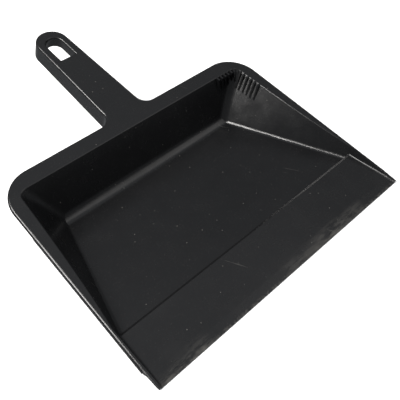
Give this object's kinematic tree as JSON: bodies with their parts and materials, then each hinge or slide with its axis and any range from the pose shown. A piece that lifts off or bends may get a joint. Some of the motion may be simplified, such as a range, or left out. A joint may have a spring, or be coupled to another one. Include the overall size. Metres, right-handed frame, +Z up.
{
  "type": "dust pan",
  "caption": "Shallow one-hand dust pan with a tapered front lip, sloping rim, bristle comb in one back corner and a channel-shaped handle with a hanging hole.",
  "frame": {"origin": "on the ground under the middle of the object's box", "axes": "+Y from the sweeping edge towards the handle, +Z up from the ground, +X to the right seen from the sweeping edge"},
  "size_m": [0.3078, 0.3388, 0.0854],
  "materials": {
    "body_plastic": "fine matte moulded texture, near black",
    "lip_plastic": "fine matte moulded texture, near black, scuffed along the edge"
  },
  "bodies": {
    "root": {"pan": "body_plastic", "handle": "body_plastic", "front_lip": "lip_plastic"}
  },
  "joints": []
}
